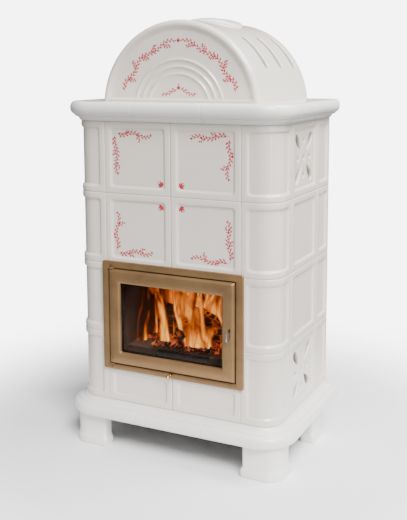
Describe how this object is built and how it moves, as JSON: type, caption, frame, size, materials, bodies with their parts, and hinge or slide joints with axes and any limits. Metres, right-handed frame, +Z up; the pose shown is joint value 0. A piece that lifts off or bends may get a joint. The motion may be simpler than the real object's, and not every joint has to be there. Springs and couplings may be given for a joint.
{
  "type": "tiled wood stove",
  "caption": "Free-standing wood stove clad in glazed relief tiles, with a moulded plinth and cornice, an arched hot-air crown and a glazed bronze door.",
  "frame": {"origin": "on the floor, under the middle of the whole object's box", "axes": "+Z up, the door faces -Y, +X is the right side seen from the front"},
  "size_m": [0.7408, 0.5164, 1.3114],
  "materials": {
    "glaze": "glossy warm off-white glaze",
    "bronze": "mottled satin bronze",
    "bright_steel": "brushed",
    "brass": "polished",
    "glass": "clear, lightly smoked",
    "black_steel": "matt black stove paint",
    "grey_steel": "plain sheet",
    "cast_iron": "as cast",
    "fireclay": "sooted fireclay",
    "vermiculite": "pressed board"
  },
  "bodies": {
    "root": {"air_tile_1_left": "glaze", "air_tile_1_right": "glaze", "air_tile_4_left": "glaze", "air_tile_4_right": "glaze", "ash_pan": "grey_steel", "back_panel": "grey_steel", "baffle_plate": "vermiculite", "base_tray": "grey_steel", "corner_tile_1_left": "glaze", "corner_tile_1_right": "glaze", "corner_tile_2_left": "glaze", "corner_tile_2_right": "glaze", "corner_tile_3_left": "glaze", "corner_tile_3_right": "glaze", "corner_tile_4_left": "glaze", "corner_tile_4_right": "glaze", "cornice_corner_left": "glaze", "cornice_corner_right": "glaze", "cornice_front": "glaze", "cornice_side_left": "glaze", "cornice_side_right": "glaze", "crown_hood": "glaze", "door_surround": "bronze", "firebox_casing": "grey_steel", "flue_collar": "black_steel", "front_foot_left": "glaze", "front_foot_right": "glaze", "front_tile_3_left": "glaze", "front_tile_3_right": "glaze", "front_tile_4_left": "glaze", "front_tile_4_right": "glaze", "grate": "cast_iron", "half_tile_left": "glaze", "half_tile_right": "glaze", "hearth_bricks": "fireclay", "hinge_pin_lower": "bright_steel", "hinge_pin_upper": "bright_steel", "plinth_corner_left": "glaze", "plinth_corner_right": "glaze", "plinth_front": "glaze", "plinth_side_left": "glaze", "plinth_side_right": "glaze", "rear_brick": "fireclay", "rear_foot_left": "glaze", "rear_foot_right": "glaze", "rear_tile_column_left": "glaze", "rear_tile_column_right": "glaze", "side_brick_left": "fireclay", "side_brick_right": "fireclay", "side_tile_2_left": "glaze", "side_tile_2_right": "glaze", "side_tile_3_left": "glaze", "side_tile_3_right": "glaze"},
    "door": {"door_frame": "bronze", "door_glass": "glass", "glass_retainer": "black_steel"},
    "latch": {"latch_lever": "bright_steel"},
    "air": {"air_control": "brass"},
    "cover": {"flue_cover": "glaze"}
  },
  "joints": [
    {"name": "door_hinge", "type": "hinge", "parent": "root", "child": "door", "pos_m": [-0.2, -0.22575, 0.419], "axis": [0, 0, -1], "range_deg": [0, 110]},
    {"name": "latch_lift", "type": "hinge", "parent": "door", "child": "latch", "pos_m": [0.192, -0.21475, 0.409], "axis": [-1, 0, 0], "range_deg": [0, 18]},
    {"name": "air_slide", "type": "slide", "parent": "root", "child": "air", "axis": [0, -1, 0], "range_m": [-0.005, 0.02]},
    {"name": "cover_lift", "type": "slide", "parent": "root", "child": "cover", "axis": [0, 0, 1], "range_m": [0, 0.25]}
  ]
}
